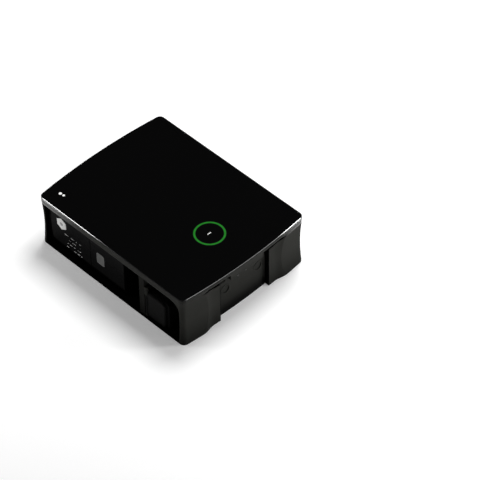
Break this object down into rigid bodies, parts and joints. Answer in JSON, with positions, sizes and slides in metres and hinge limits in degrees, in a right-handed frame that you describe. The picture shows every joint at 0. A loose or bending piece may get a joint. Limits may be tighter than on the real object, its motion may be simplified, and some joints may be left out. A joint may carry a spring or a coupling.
{
  "type": "ev wallbox",
  "caption": "Wall box for charging an electric car: black glass front with a green light ring, waisted charcoal housing, spring-closed socket flap in a bay in its left side.",
  "frame": {"origin": "middle of the flat back that lies against the wall, so the part rests on its back", "axes": "+Z out of the wall through the glass front, +Y to the upper end as it hangs, +X to its right seen from the front"},
  "size_m": [0.332, 0.4299, 0.126],
  "materials": {
    "charcoal_plastic": "fine satin grain",
    "flap_plastic": "satin",
    "black_glass": "polished, printed black from behind",
    "black_gloss": "polished",
    "black_plastic": "satin",
    "black_rubber": "matte",
    "green_light": "clear, lit green",
    "pale_window": "clear over a grey display",
    "white_plastic": "satin",
    "relay_plastic": "satin",
    "terminal_grey": "satin",
    "board_green": "solder mask",
    "steel": "zinc plated",
    "silver_contact": "silver plated",
    "copper": "bare copper",
    "brass": "bare"
  },
  "bodies": {
    "housing": {"rear_housing": "charcoal_plastic", "front_frame": "charcoal_plastic", "front_glass": "black_glass", "cover_gasket": "black_rubber", "cover_screws": "steel", "entry_plugs": "charcoal_plastic", "entry_grommets": "black_rubber", "light_guide_holder": "black_plastic", "led_light_guide": "green_light", "led_ring_board": "board_green", "ring_leds": "white_plastic", "rfid_coil": "copper", "ring_board_screws": "steel", "label_panel": "black_gloss", "meter_panel": "black_gloss", "meter_window": "pale_window", "energy_meter": "white_plastic", "meter_screws": "steel", "socket_housing": "black_plastic", "contact_carrier": "black_plastic", "socket_contacts": "silver_contact", "socket_screws": "steel", "flap_seal": "black_rubber", "flap_hinge_pin": "steel", "flap_spring": "steel", "lock_actuator": "black_plastic", "actuator_screws": "steel", "power_board": "board_green", "control_board": "board_green", "board_screws": "steel", "power_relays": "relay_plastic", "supply_terminals": "terminal_grey", "current_sensor": "black_plastic", "power_supply": "black_plastic", "network_jack": "steel", "cable_clamp": "black_plastic", "clamp_screws": "steel", "earth_stud": "brass"},
    "flap": {"socket_flap": "flap_plastic"},
    "bolt": {"lock_bolt": "steel"}
  },
  "joints": [
    {"name": "flap_hinge", "type": "hinge", "parent": "housing", "child": "flap", "pos_m": [-0.159, -0.0977, 0.037], "axis": [0, 0, -1], "range_deg": [0, 100], "stiffness_Nm_per_rad": 0.02, "springref_deg": -22.92},
    {"name": "lock_slide", "type": "slide", "parent": "housing", "child": "bolt", "axis": [0, -1, 0], "range_m": [0, 0.0045]}
  ]
}
